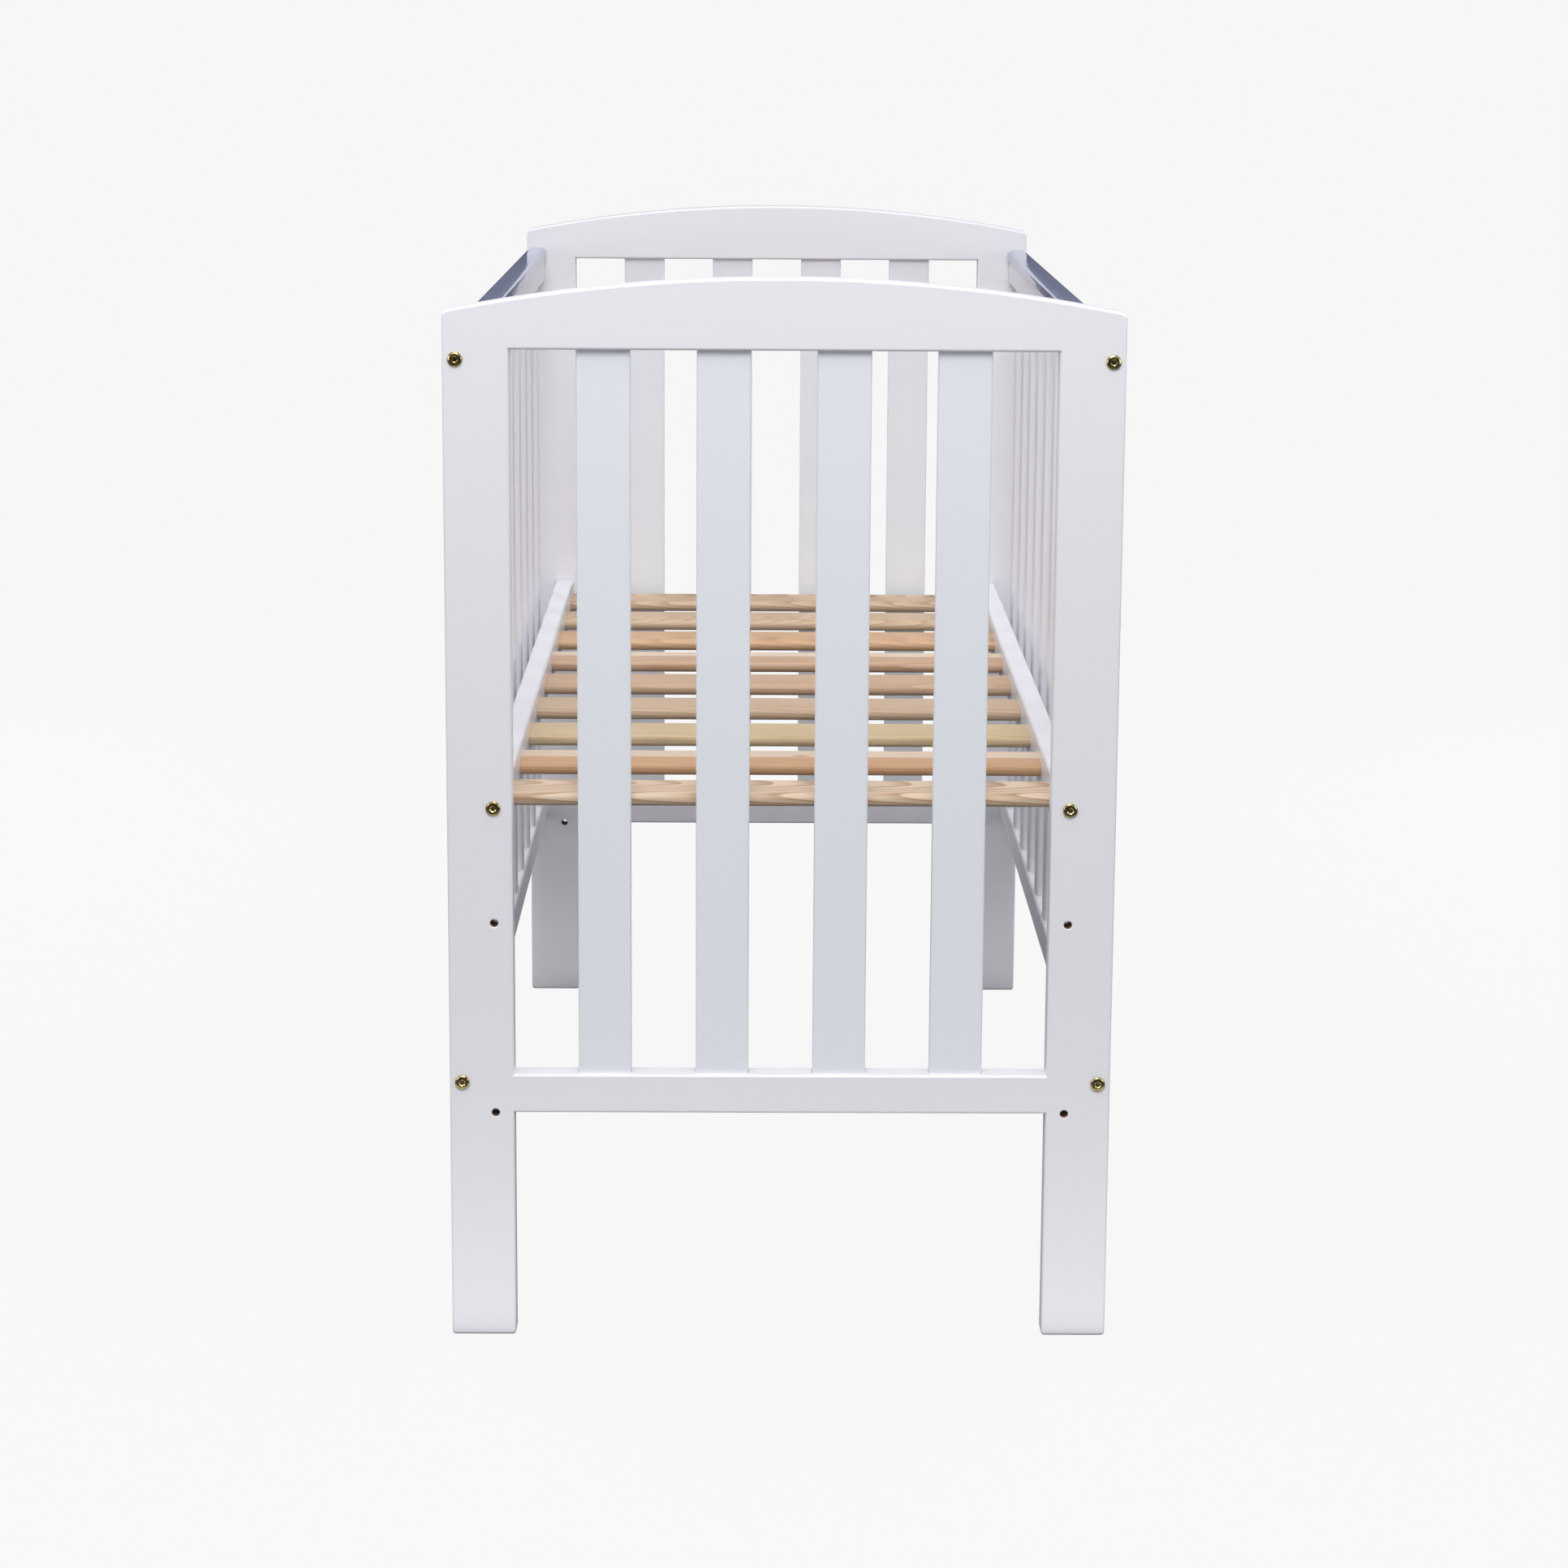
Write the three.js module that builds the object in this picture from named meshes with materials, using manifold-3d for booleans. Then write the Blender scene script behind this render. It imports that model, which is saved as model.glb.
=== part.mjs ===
// Wooden baby cot: two framed ends with flat slats and an arched top, two fixed barred sides with a
// teething cap on the top rail, and a slatted base that bolts to the posts at one of three heights.
// Millimetres, +Z up, +Y along the length, origin on the floor under the middle of the cot.

import * as THREE from 'three';
import { mergeVertices } from 'three/addons/utils/BufferGeometryUtils.js';
import Module from 'manifold-3d';

const wasm = await Module();
wasm.setup();

// Overall sizes
const overallWidth = 564;
const innerLength = 1002; // between the end frames, for a 1000 mm mattress
const cornerHeight = 886; // outer top corner of an end frame
const archRise = 28; // middle of the arch above those corners

// Shared clearances
const fit = 0.3; // gap around every glued or seated joint
const boltPlay = 0.5; // radial play of a bolt in its bore

// End frames
const endThickness = 22;
const postWidth = 55;
const cornerRadius = 6;
const arrisRadius = 2.5;
const topRailDrop = 32; // top rail's underside below the outer corner
const bottomRailUnderside = 200;
const bottomRailHeight = 34;
const endTenonLength = 26;
const endTenonThickness = 8;
const endTenonHeight = 14;
const endTenonShoulder = 10;
const endSlatCount = 4;
const endSlatWidth = 45;
const endSlatThickness = 10;
const endSlatRadius = 2;
const endSlatTenon = 12;

// Sides
const sideRailThickness = 18;
const sideTopRailHeight = 36;
const sideBottomRailHeight = 30;
const sideTopRailDrop = 22; // side top rail's top below the outer corner of the end frame
const sideBottomRailUnderside = 212;
const sideRailRadius = 2.5;
const barCount = 10;
const barWidth = 30;
const barThickness = 12;
const barRadius = 3;
const barTenon = 14;

// Teething cap
const capWall = 1.5;
const capDepth = 12;
const capRadius = 6;

// Base
const baseHeights = [467, 367, 200]; // middle of the base rails at the three bolt positions
const baseRailThickness = 20;
const baseRailHeight = 37;
const baseRailInset = 31; // outside of the cot to the outside of a base rail
const baseBoltInset = 39; // outside of the cot to the base bolts
const baseEndClearance = 1;
const baseSlatCount = 9;
const baseSlatWidth = 55;
const baseSlatThickness = 12;
const baseMortiseWall = 0.5; // wood left between a slat's mortise and a nut's pocket
const baseSlatInset = 8.5; // end of a base rail to its first slat

// M6 bolts and barrel nuts
const boltDiameter = 6;
const boltHeadDiameter = 12.4;
const boltHeadHeight = 2.5;
const boltHeadEdge = 1; // straight rim under the dome
const socketAcross = 4; // hexagon socket, across flats
const socketDepth = 1.9;
const nutDiameter = 10;
const nutLength = 15;
const nutInset = 32; // end of a rail to the middle of its barrel nut
const boltPastNut = 4;

// Smoothness of round stretches
const archSteps = 16;
const cornerSteps = 3;
const noseSteps = 6;
const boltSides = 16;

// Worked out from the sizes above
const archHeight = cornerHeight + archRise;
const openingWidth = overallWidth - 2 * postWidth;
const topRailUnderside = cornerHeight - topRailDrop;
const bottomRailTop = bottomRailUnderside + bottomRailHeight;
const endMiddle = innerLength / 2 + endThickness / 2;
const sideTop = cornerHeight - sideTopRailDrop;
const sideTopRailMiddle = sideTop - sideTopRailHeight / 2;
const sideBottomRailMiddle = sideBottomRailUnderside + sideBottomRailHeight / 2;
const capWidth = sideRailThickness + 2 * (fit + capWall);
const sideMiddle = overallWidth / 2 - capWidth / 2;
const sideRailLength = innerLength - 2 * fit;
const baseRailMiddle = overallWidth / 2 - baseRailInset - baseRailThickness / 2;
const baseRailLength = innerLength - 2 * baseEndClearance;
const baseClearWidth = 2 * baseRailMiddle - baseRailThickness;
const boltBore = boltDiameter + 2 * boltPlay;
const nutPocket = nutDiameter + 2 * fit;
const baseBoltMiddle = overallWidth / 2 - baseBoltInset;
const baseSlatTenon = baseBoltMiddle - baseClearWidth / 2 - nutPocket / 2 - baseMortiseWall - fit;

const paint = new THREE.MeshStandardMaterial({ color: 0xe9eaf0, roughness: 0.42, metalness: 0 });
const pine = new THREE.MeshStandardMaterial({ color: 0xdcbb90, roughness: 0.55, metalness: 0 });
const capPlastic = new THREE.MeshStandardMaterial({ color: 0xb4b9cc, roughness: 0.15, metalness: 0 });
const yellowZinc = new THREE.MeshStandardMaterial({ color: 0xb39a4e, roughness: 0.3, metalness: 1 });

// Solids

function toSolid(geometry) {
  const bare = geometry.clone();
  bare.deleteAttribute('normal');
  bare.deleteAttribute('uv');
  const merged = mergeVertices(bare);
  return new wasm.Manifold(
    new wasm.Mesh({
      numProp: 3,
      vertProperties: new Float32Array(merged.attributes.position.array),
      triVerts: new Uint32Array(merged.index.array),
    }),
  );
}

function toGeometry(solid) {
  const mesh = solid.getMesh();
  const geometry = new THREE.BufferGeometry();
  geometry.setAttribute('position', new THREE.BufferAttribute(mesh.vertProperties, 3));
  geometry.setIndex(new THREE.BufferAttribute(mesh.triVerts, 1));
  return geometry;
}

function piece(name, solid, material) {
  const geometry = toGeometry(solid);
  geometry.computeVertexNormals();
  const mesh = new THREE.Mesh(geometry, material);
  mesh.name = name;
  return mesh;
}

function block(sizeX, sizeY, sizeZ, x, y, z) {
  return toSolid(new THREE.BoxGeometry(sizeX, sizeY, sizeZ).translate(x, y, z));
}

function rodAlongY(diameter, length, x, y, z) {
  const geometry = new THREE.CylinderGeometry(diameter / 2, diameter / 2, length, boltSides);
  return toSolid(geometry.translate(x, y, z));
}

function rodAlongZ(diameter, length, x, y, z) {
  const geometry = new THREE.CylinderGeometry(diameter / 2, diameter / 2, length, boltSides);
  return toSolid(geometry.rotateX(Math.PI / 2).translate(x, y, z));
}

// Outlines

function arc(centreU, centreV, radius, from, to, steps) {
  const points = [];
  for (let i = 0; i <= steps; i += 1) {
    const angle = from + ((to - from) * i) / steps;
    points.push(new THREE.Vector2(centreU + radius * Math.cos(angle), centreV + radius * Math.sin(angle)));
  }
  return points;
}

// A rectangle about the origin with its four corners rounded, the upper two by their own radius.
function roundedRectangle(width, height, radius, upperRadius = radius) {
  const u = width / 2;
  const v = height / 2;
  const quarter = Math.PI / 2;
  return [
    ...arc(u - radius, radius - v, radius, -quarter, 0, cornerSteps),
    ...arc(u - upperRadius, v - upperRadius, upperRadius, 0, quarter, cornerSteps),
    ...arc(upperRadius - u, v - upperRadius, upperRadius, quarter, 2 * quarter, cornerSteps),
    ...arc(radius - u, radius - v, radius, 2 * quarter, 3 * quarter, cornerSteps),
  ];
}

// A flat slat's section with fully rounded front and back edges.
function bullnose(width, thickness) {
  const radius = thickness / 2;
  const u = width / 2 - radius;
  const quarter = Math.PI / 2;
  return [...arc(u, 0, radius, -quarter, quarter, noseSteps), ...arc(-u, 0, radius, quarter, 3 * quarter, noseSteps)];
}

function extrude(outline, length) {
  const geometry = new THREE.ExtrudeGeometry(new THREE.Shape(outline), { depth: length, bevelEnabled: false });
  return geometry.translate(0, 0, -length / 2);
}

// Sections drawn in X and Z, run along Y.
function alongY(outline, length) {
  return extrude(outline, length).rotateX(Math.PI / 2);
}

// Sections drawn in Y and Z, run along X.
function alongX(outline, length) {
  return extrude(outline, length).rotateX(Math.PI / 2).rotateZ(Math.PI / 2);
}

// Places spread evenly about the middle, with equal gaps between them and to both ends.
function evenlySpaced(count, width, span) {
  const gap = (span - count * width) / (count + 1);
  return Array.from({ length: count }, (_, i) => (gap + width) * i + gap + width / 2 - span / 2);
}

// End frames

// The arch is a circle through both outer corners and the crown.
function archCircle() {
  const half = overallWidth / 2;
  const radius = (half * half + archRise * archRise) / (2 * archRise);
  return { radius, centre: archHeight - radius };
}

// Left half of the arch from the rounded corner to the crown, mirrored for the right half.
function archPoints() {
  const { radius, centre } = archCircle();
  const half = overallWidth / 2;
  const cornerCentreU = half - cornerRadius;
  const cornerCentreV = centre + Math.sqrt((radius - cornerRadius) ** 2 - cornerCentreU ** 2);
  const meet = Math.atan2(cornerCentreV - centre, cornerCentreU);
  return [
    ...arc(cornerCentreU, cornerCentreV, cornerRadius, 0, meet, cornerSteps),
    ...arc(0, centre, radius, meet, Math.PI - meet, archSteps).slice(1, -1),
    ...arc(-cornerCentreU, cornerCentreV, cornerRadius, Math.PI - meet, Math.PI, cornerSteps),
  ];
}

// The whole frame in one board, with rounded edges; the pieces are sawn out of it below.
function endBoard() {
  const half = overallWidth / 2;
  const inner = openingWidth / 2;
  const outline = new THREE.Shape([
    new THREE.Vector2(inner, bottomRailUnderside),
    new THREE.Vector2(inner, 0),
    new THREE.Vector2(half, 0),
    ...archPoints(),
    new THREE.Vector2(-half, 0),
    new THREE.Vector2(-inner, 0),
    new THREE.Vector2(-inner, bottomRailUnderside),
  ]);
  outline.holes.push(
    new THREE.Path([
      new THREE.Vector2(-inner, bottomRailTop),
      new THREE.Vector2(-inner, topRailUnderside),
      new THREE.Vector2(inner, topRailUnderside),
      new THREE.Vector2(inner, bottomRailTop),
    ]),
  );
  const geometry = new THREE.ExtrudeGeometry(outline, {
    depth: endThickness - 2 * arrisRadius,
    bevelEnabled: true,
    bevelThickness: arrisRadius,
    bevelSize: arrisRadius,
    bevelOffset: -arrisRadius,
    bevelSegments: cornerSteps,
  });
  geometry.translate(0, 0, arrisRadius - endThickness / 2);
  return toSolid(geometry.rotateX(Math.PI / 2));
}

// Middle height of the tenon that each end of a rail puts into the posts.
function endTenonMiddle(railUnderside) {
  return railUnderside + endTenonShoulder + endTenonHeight / 2;
}

function endPost(board, sign) {
  const middle = sign * (overallWidth / 2 - postWidth / 2);
  let post = board.intersect(block(postWidth, 2 * endThickness, 3 * archHeight, middle, 0, 0));
  const mortiseX = sign * (openingWidth / 2 + (endTenonLength + fit) / 2);
  for (const railUnderside of [topRailUnderside, bottomRailUnderside]) {
    const mortise = block(
      endTenonLength + fit,
      endTenonThickness + 2 * fit,
      endTenonHeight + 2 * fit,
      mortiseX,
      0,
      endTenonMiddle(railUnderside),
    );
    post = post.subtract(mortise);
  }
  for (const z of [sideTopRailMiddle, sideBottomRailMiddle]) {
    post = post.subtract(rodAlongY(boltBore, 2 * endThickness, sign * sideMiddle, 0, z));
  }
  for (const z of baseHeights) {
    post = post.subtract(rodAlongY(boltBore, 2 * endThickness, sign * baseBoltMiddle, 0, z));
  }
  return post;
}

// One cross rail with its two tenons. slatEdge is the rail's edge that the slats enter.
function endRail(board, underside, top, slatEdge) {
  const clearWidth = openingWidth - 2 * fit;
  const height = top - underside;
  let rail = board.intersect(block(clearWidth, 2 * endThickness, height, 0, 0, underside + height / 2));
  const tenon = block(
    clearWidth + 2 * endTenonLength,
    endTenonThickness,
    endTenonHeight,
    0,
    0,
    endTenonMiddle(underside),
  );
  rail = rail.add(tenon);
  for (const x of evenlySpaced(endSlatCount, endSlatWidth, openingWidth)) {
    const mortise = block(
      endSlatWidth + 2 * fit,
      endSlatThickness + 2 * fit,
      2 * (endSlatTenon + fit),
      x,
      0,
      slatEdge,
    );
    rail = rail.subtract(mortise);
  }
  return rail;
}

function endSlat(x) {
  const height = topRailUnderside - bottomRailTop + 2 * endSlatTenon;
  const geometry = extrude(roundedRectangle(endSlatWidth, endSlatThickness, endSlatRadius), height);
  return toSolid(geometry.translate(x, 0, (topRailUnderside + bottomRailTop) / 2));
}

function endFrame(end, y) {
  const group = new THREE.Group();
  const board = endBoard();
  group.add(
    piece(`${end}_left_post`, endPost(board, -1), paint),
    piece(`${end}_right_post`, endPost(board, 1), paint),
    piece(`${end}_top_rail`, endRail(board, topRailUnderside, archHeight, topRailUnderside), paint),
    piece(`${end}_bottom_rail`, endRail(board, bottomRailUnderside, bottomRailTop, bottomRailTop), paint),
  );
  evenlySpaced(endSlatCount, endSlatWidth, openingWidth).forEach((x, i) => {
    group.add(piece(`${end}_slat_${i + 1}`, endSlat(x), paint));
  });
  group.position.y = y;
  return group;
}

// Bolted rails

// Bores for a bolt in both ends of a rail, at x, and the two barrel nuts' pockets from below.
function boltedEnds(rail, railLength, height, x, z) {
  const boreLength = nutInset + nutDiameter / 2 + boltPastNut + boltPlay;
  const pocketDepth = height / 2 + nutLength / 2 + fit;
  let bored = rail;
  for (const sign of [-1, 1]) {
    const end = (sign * railLength) / 2;
    bored = bored.subtract(rodAlongY(boltBore, 2 * boreLength, x, end, z));
    const nutY = end - sign * nutInset;
    bored = bored.subtract(rodAlongZ(nutPocket, 2 * pocketDepth, x, nutY, z - height / 2));
  }
  return bored;
}

// Sides

function barPlaces() {
  return evenlySpaced(barCount, barWidth, innerLength);
}

function sideTopRail() {
  const upperRadius = capRadius - capWall;
  const outline = roundedRectangle(sideRailThickness, sideTopRailHeight, sideRailRadius, upperRadius);
  let rail = toSolid(alongY(outline, sideRailLength).translate(0, 0, sideTopRailMiddle));
  const underside = sideTop - sideTopRailHeight;
  for (const y of barPlaces()) {
    const mortise = block(
      barThickness + 2 * fit,
      barWidth + 2 * fit,
      2 * (barTenon + fit),
      0,
      y,
      underside,
    );
    rail = rail.subtract(mortise);
  }
  return boltedEnds(rail, sideRailLength, sideTopRailHeight, 0, sideTopRailMiddle);
}

// The bars stand glued in the bottom rail, so that the two make one comb.
function sideBars() {
  const outline = roundedRectangle(sideRailThickness, sideBottomRailHeight, sideRailRadius);
  let comb = toSolid(alongY(outline, sideRailLength).translate(0, 0, sideBottomRailMiddle));
  const barTop = sideTop - sideTopRailHeight + barTenon;
  const barHeight = barTop - sideBottomRailMiddle;
  for (const y of barPlaces()) {
    const bar = extrude(roundedRectangle(barThickness, barWidth, barRadius), barHeight);
    comb = comb.add(toSolid(bar.translate(0, y, sideBottomRailMiddle + barHeight / 2)));
  }
  return boltedEnds(comb, sideRailLength, sideBottomRailHeight, 0, sideBottomRailMiddle);
}

// A snap-on channel, open below, over the rounded top of the rail.
function teethingCap() {
  const top = sideTop + fit + capWall;
  const outer = roundedRectangle(capWidth, 2 * capDepth, 0.01, capRadius);
  const innerWidth = capWidth - 2 * capWall;
  const inner = roundedRectangle(innerWidth, 2 * (capDepth - capWall), 0.01, capRadius - capWall);
  const skin = toSolid(alongY(outer, sideRailLength)).subtract(toSolid(alongY(inner, 2 * sideRailLength)));
  const keep = block(2 * capWidth, 2 * sideRailLength, capDepth, 0, 0, capDepth / 2);
  return skin.intersect(keep).translate([0, 0, top - capDepth]);
}

function side(name, x) {
  const group = new THREE.Group();
  group.add(
    piece(`${name}_top_rail`, sideTopRail(), paint),
    piece(`${name}_bars_and_bottom_rail`, sideBars(), paint),
    piece(`${name}_teething_cap`, teethingCap(), capPlastic),
  );
  group.position.x = x;
  return group;
}

// Base

function baseSlatPlaces() {
  const first = -baseRailLength / 2 + baseSlatInset + baseSlatWidth / 2;
  const pitch = (-2 * first) / (baseSlatCount - 1);
  return Array.from({ length: baseSlatCount }, (_, i) => first + pitch * i);
}

function baseRail(sign) {
  const outline = roundedRectangle(baseRailThickness, baseRailHeight, sideRailRadius);
  let rail = toSolid(alongY(outline, baseRailLength));
  const mortise = bullnose(baseSlatWidth + 2 * fit, baseSlatThickness + 2 * fit);
  const innerFace = (-sign * baseRailThickness) / 2;
  for (const y of baseSlatPlaces()) {
    const cutter = alongX(mortise, 2 * (baseSlatTenon + fit)).translate(innerFace, y, 0);
    rail = rail.subtract(toSolid(cutter));
  }
  return boltedEnds(rail, baseRailLength, baseRailHeight, sign * (baseBoltMiddle - baseRailMiddle), 0);
}

function baseSlat(y) {
  const geometry = alongX(bullnose(baseSlatWidth, baseSlatThickness), baseClearWidth + 2 * baseSlatTenon);
  return toSolid(geometry.translate(0, y, 0));
}

function base(z) {
  const group = new THREE.Group();
  for (const [name, sign] of [['left', -1], ['right', 1]]) {
    const rail = piece(`base_${name}_rail`, baseRail(sign), paint);
    rail.position.x = sign * baseRailMiddle;
    group.add(rail);
  }
  baseSlatPlaces().forEach((y, i) => {
    group.add(piece(`base_slat_${i + 1}`, baseSlat(y), pine));
  });
  group.position.z = z;
  return group;
}

// Fasteners

// A bolt along +Y from a low domed head, which seats at y = 0. grip is the depth to the rail's end.
function bolt(grip) {
  const tip = grip + nutInset + nutDiameter / 2 + boltPastNut;
  const chamfer = 1;
  const head = boltHeadDiameter / 2;
  const shank = boltDiameter / 2;
  const profile = [
    new THREE.Vector2(0, -boltHeadHeight),
    new THREE.Vector2(head * 0.62, 0.12 - boltHeadHeight),
    new THREE.Vector2(head * 0.88, 0.55 - boltHeadHeight),
    new THREE.Vector2(head, -boltHeadEdge),
    new THREE.Vector2(head, -fit),
    new THREE.Vector2(shank, -fit),
    new THREE.Vector2(shank, tip - chamfer),
    new THREE.Vector2(shank - chamfer, tip),
    new THREE.Vector2(0, tip),
  ];
  const turned = toSolid(new THREE.LatheGeometry(profile, boltSides));
  const socketRadius = socketAcross / Math.sqrt(3);
  const socket = new THREE.CylinderGeometry(socketRadius, socketRadius, 2 * socketDepth, 6);
  return turned.subtract(toSolid(socket.translate(0, -boltHeadHeight, 0)));
}

function barrelNut() {
  const barrel = rodAlongZ(nutDiameter, nutLength, 0, 0, 0);
  return barrel.subtract(rodAlongY(boltDiameter + 2 * fit, 2 * nutDiameter, 0, 0, 0));
}

// The bolt and nut of one rail end. clearance is the rail's gap to the end frame.
function fastening(name, endSign, x, clearance, z) {
  const group = new THREE.Group();
  const screw = piece(`${name}_bolt`, bolt(endThickness + clearance), yellowZinc);
  const nut = piece(`${name}_nut`, barrelNut(), yellowZinc);
  const outerFace = innerLength / 2 + endThickness;
  screw.position.y = endSign * outerFace;
  screw.rotation.z = endSign > 0 ? Math.PI : 0;
  nut.position.y = endSign * (innerLength / 2 - clearance - nutInset);
  group.add(screw, nut);
  group.position.set(x, 0, z);
  return group;
}

const cot = new THREE.Group();
const ends = [['front', -1], ['back', 1]];
const sides = [['left', -1], ['right', 1]];

for (const [end, endSign] of ends) {
  cot.add(endFrame(end, endSign * endMiddle));
}
for (const [name, sign] of sides) {
  cot.add(side(name, sign * sideMiddle));
}
cot.add(base(baseHeights[0]));

for (const [end, endSign] of ends) {
  for (const [name, sign] of sides) {
    const corner = `${end}_${name}`;
    cot.add(
      fastening(`${corner}_upper`, endSign, sign * sideMiddle, fit, sideTopRailMiddle),
      fastening(`${corner}_lower`, endSign, sign * sideMiddle, fit, sideBottomRailMiddle),
      fastening(`${corner}_base`, endSign, sign * baseBoltMiddle, baseEndClearance, baseHeights[0]),
    );
  }
}

export default cot;
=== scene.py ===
"""A white wooden baby crib with a slatted pine base. Metres; front is -Y, left is -X, the floor is z = 0."""

import math

import bmesh
import bpy
from mathutils import Matrix, Vector


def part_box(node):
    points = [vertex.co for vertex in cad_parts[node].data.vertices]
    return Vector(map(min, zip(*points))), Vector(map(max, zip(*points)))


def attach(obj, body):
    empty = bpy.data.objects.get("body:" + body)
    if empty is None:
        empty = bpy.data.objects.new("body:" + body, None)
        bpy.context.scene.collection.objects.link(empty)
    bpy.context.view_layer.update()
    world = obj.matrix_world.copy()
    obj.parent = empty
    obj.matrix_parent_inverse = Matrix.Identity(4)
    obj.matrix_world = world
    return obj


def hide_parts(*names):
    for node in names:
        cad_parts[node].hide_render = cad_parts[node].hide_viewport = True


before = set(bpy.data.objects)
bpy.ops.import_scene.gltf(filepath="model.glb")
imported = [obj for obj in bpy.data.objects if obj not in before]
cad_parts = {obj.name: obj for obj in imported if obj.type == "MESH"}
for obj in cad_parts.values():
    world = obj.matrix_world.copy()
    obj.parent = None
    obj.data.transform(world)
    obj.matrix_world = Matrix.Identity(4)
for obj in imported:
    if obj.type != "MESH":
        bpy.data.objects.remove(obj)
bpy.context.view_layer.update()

# Sizes of details. Most are the CAD model's, and the small easings are this scene's own
FIT = 0.0003
ARRIS = 0.0025
ARRIS_STEPS = 5
CORNER_HEIGHT = 0.886
CORNER_RADIUS = 0.006
CORNER_STEPS = 6
FOOT_RADIUS = 0.003
ARCH_STEPS = 64
POST_ARCH_STEPS = 8
SLAT_COUNT = 4
SLAT_RADIUS = 0.002
BAR_RADIUS = 0.003
RAIL_RADIUS = 0.0025
BAR_COUNT = 10
BAR_WIDTH = 0.03
BAR_HALF_THICKNESS = 0.006
BAR_TENON = 0.014
BOTTOM_RAIL_HEIGHT = 0.03
CAP_WALL = 0.0015
CAP_RADIUS = 0.006
SECTION_STEPS = 6
HOLE_RADIUS = 0.0035
HOLE_FLARE = 0.0007
BASE_HEIGHTS = (0.467, 0.367, 0.2)
BASE_DROPS = tuple(height - BASE_HEIGHTS[0] for height in BASE_HEIGHTS)
HEAD_RADIUS = 0.0062
HEAD_GAP = 0.00002
SHANK_RADIUS = 0.003
SOCKET_RADIUS = 0.0023
SOCKET_DEPTH = 0.0019
SOCKET_EDGE = 0.0005
SOCKET_FLOOR_RISE = 0.0004
SHANK_POINT = 0.001
HEAD_EASE = 0.0003
NUT_POCKET_RADIUS = 0.0053
NUT_DISTANCE = 0.032
NUT_POCKET_RISE = 0.0078
BORE_LENGTH = 0.0415
OVERRUN = 0.001
ROUND_SIDES = 32
BOLT_SIDES = 60
SHARP_ANGLE = math.radians(35)

# The bolt head's dome, as radius and depth below its crown, from the socket's mouth to the rim
HEAD_DOME = [
    (0.0028, 0.00002),
    (0.0038, 0.00012),
    (0.0047, 0.00029),
    (0.0054, 0.00055),
    (0.0059, 0.00092),
    (0.0061, 0.00125),
    (HEAD_RADIUS, 0.0015),
]


# Outlines, as lists of two-dimensional points


def arc(centre, radius, start, end, steps):
    """Points on an arc, angles in degrees."""
    points = []
    for i in range(steps + 1):
        angle = math.radians(start + (end - start) * i / steps)
        points.append((centre[0] + radius * math.cos(angle), centre[1] + radius * math.sin(angle)))
    return points


def rounded_rectangle(low, high, radius, upper_radius=None):
    """Corners low and high; the two upper corners may have a radius of their own."""
    upper = radius if upper_radius is None else upper_radius
    return (
        arc((high[0] - radius, low[1] + radius), radius, -90, 0, SECTION_STEPS)
        + arc((high[0] - upper, high[1] - upper), upper, 0, 90, SECTION_STEPS)
        + arc((low[0] + upper, high[1] - upper), upper, 90, 180, SECTION_STEPS)
        + arc((low[0] + radius, low[1] + radius), radius, 180, 270, SECTION_STEPS)
    )


def bullnose(low, high):
    """A flat section whose left and right edges are half rounds."""
    radius = (high[1] - low[1]) / 2
    middle = (low[1] + high[1]) / 2
    right = arc((high[0] - radius, middle), radius, -90, 90, 2 * SECTION_STEPS)
    left = arc((low[0] + radius, middle), radius, 90, 270, 2 * SECTION_STEPS)
    return right + left


# Meshes


def loft(rings):
    """A closed mesh through rings of equal length, with the first and last one filled."""
    mesh = bmesh.new()
    made = [[mesh.verts.new(point) for point in ring] for ring in rings]
    count = len(rings[0])
    for one, other in zip(made, made[1:]):
        for i in range(count):
            j = (i + 1) % count
            mesh.faces.new((one[i], one[j], other[j], other[i]))
    mesh.faces.new(list(reversed(made[0])))
    mesh.faces.new(made[-1])
    bmesh.ops.remove_doubles(mesh, verts=mesh.verts, dist=1e-6)
    bmesh.ops.recalc_face_normals(mesh, faces=mesh.faces)
    return mesh


def along_x(outline, start, end):
    return loft([[(x, y, z) for y, z in outline] for x in (start, end)])


def along_y(outline, start, end):
    return loft([[(x, y, z) for x, z in outline] for y in (start, end)])


def along_z(outline, start, end):
    return loft([[(x, y, z) for x, y in outline] for z in (start, end)])


def turned(profile, sides, hexagons=0):
    """A solid about Y through (radius, y) points; its first and last points lie on the axis.

    Its rings are round, apart from the first few, which are hexagons of that corner radius.
    """
    mesh = bmesh.new()
    rings = []
    sixth = math.pi / 3
    for number, (radius, y) in enumerate(profile[1:-1]):
        ring = []
        for i in range(sides):
            angle = 2 * math.pi * i / sides
            reach = radius
            if number < hexagons:
                reach = radius * math.cos(sixth / 2) / math.cos(angle % sixth - sixth / 2)
            ring.append(mesh.verts.new((reach * math.cos(angle), y, reach * math.sin(angle))))
        rings.append(ring)
    first = mesh.verts.new((0, profile[0][1], 0))
    last = mesh.verts.new((0, profile[-1][1], 0))
    for i in range(sides):
        j = (i + 1) % sides
        mesh.faces.new((first, rings[0][i], rings[0][j]))
        mesh.faces.new((last, rings[-1][j], rings[-1][i]))
        for one, other in zip(rings, rings[1:]):
            mesh.faces.new((one[j], one[i], other[i], other[j]))
    bmesh.ops.recalc_face_normals(mesh, faces=mesh.faces)
    return mesh


def add_object(name, mesh, materials):
    data = bpy.data.meshes.new(name)
    mesh.to_mesh(data)
    mesh.free()
    for material in materials:
        data.materials.append(material)
    made = bpy.data.objects.new(name, data)
    bpy.context.scene.collection.objects.link(made)
    return made


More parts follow.
